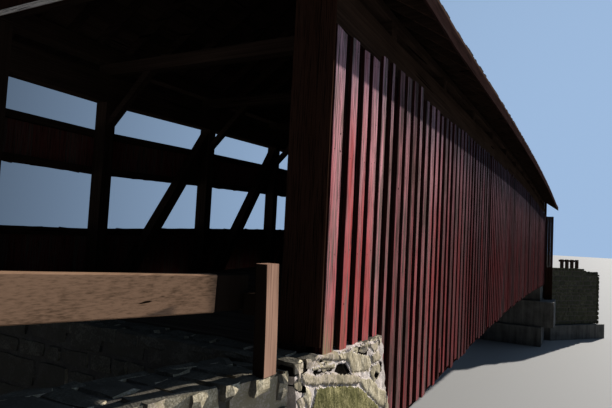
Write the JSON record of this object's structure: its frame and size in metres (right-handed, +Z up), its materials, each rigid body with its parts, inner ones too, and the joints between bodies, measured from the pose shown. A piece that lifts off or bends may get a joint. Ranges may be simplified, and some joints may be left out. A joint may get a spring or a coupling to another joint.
{
  "type": "covered bridge",
  "caption": "Covered timber road bridge with boarded trusses, a gabled roof, one wall open in strips, masonry and concrete abutments, wings and guide rails.",
  "frame": {"origin": "centre of the bounding box at its lowest level, under the middle of the span at the foot of the abutments", "axes": "+Y along the roadway from the near portal to the far one, +X across it towards the boarded river wall, +Z up"},
  "size_m": [11.8641, 39.7, 10.8311],
  "materials": {
    "red_boards": "weathered red paint on rough boards",
    "pale_trim": "worn pale paint",
    "old_timber": "old dark timber",
    "deck_planks": "worn planks",
    "rough_rail": "rough-sawn, sun-bleached",
    "roofing": "weathered wood shingles",
    "rubble": "rough rubble with pale mortar",
    "concrete": "old stained concrete"
  },
  "bodies": {
    "root": {"bottom_chord_left": "old_timber", "bottom_chord_right": "old_timber", "deck": "deck_planks", "far_abutment": "concrete", "far_corner_panels": "red_boards", "far_footings": "concrete", "far_gable": "red_boards", "far_guide_posts": "rough_rail", "far_guide_rails": "rough_rail", "far_header_trim": "pale_trim", "far_jambs": "red_boards", "far_wing_left": "rubble", "far_wing_right": "rubble", "fascia_left": "red_boards", "fascia_right": "red_boards", "floor_beams": "old_timber", "joists": "old_timber", "knee_braces": "old_timber", "nailers_left": "old_timber", "nailers_right": "old_timber", "near_abutment": "rubble", "near_gable": "red_boards", "near_guide_posts": "rough_rail", "near_guide_rails": "rough_rail", "near_header_trim": "pale_trim", "near_jambs": "red_boards", "near_wing_left": "rubble", "near_wing_right": "rubble", "portal_lintels": "old_timber", "portal_posts": "old_timber", "rafters_left": "old_timber", "rafters_right": "old_timber", "ridge_cap": "roofing", "roof_left": "roofing", "roof_right": "roofing", "siding_left_band": "red_boards", "siding_left_lower": "red_boards", "siding_right": "red_boards", "tie_beams": "old_timber", "top_chord_left": "old_timber", "top_chord_right": "old_timber", "truss_braces_left": "old_timber", "truss_braces_right": "old_timber", "truss_posts_left": "old_timber", "truss_posts_right": "old_timber", "wall_plate_left": "old_timber", "wall_plate_right": "old_timber"}
  },
  "joints": []
}
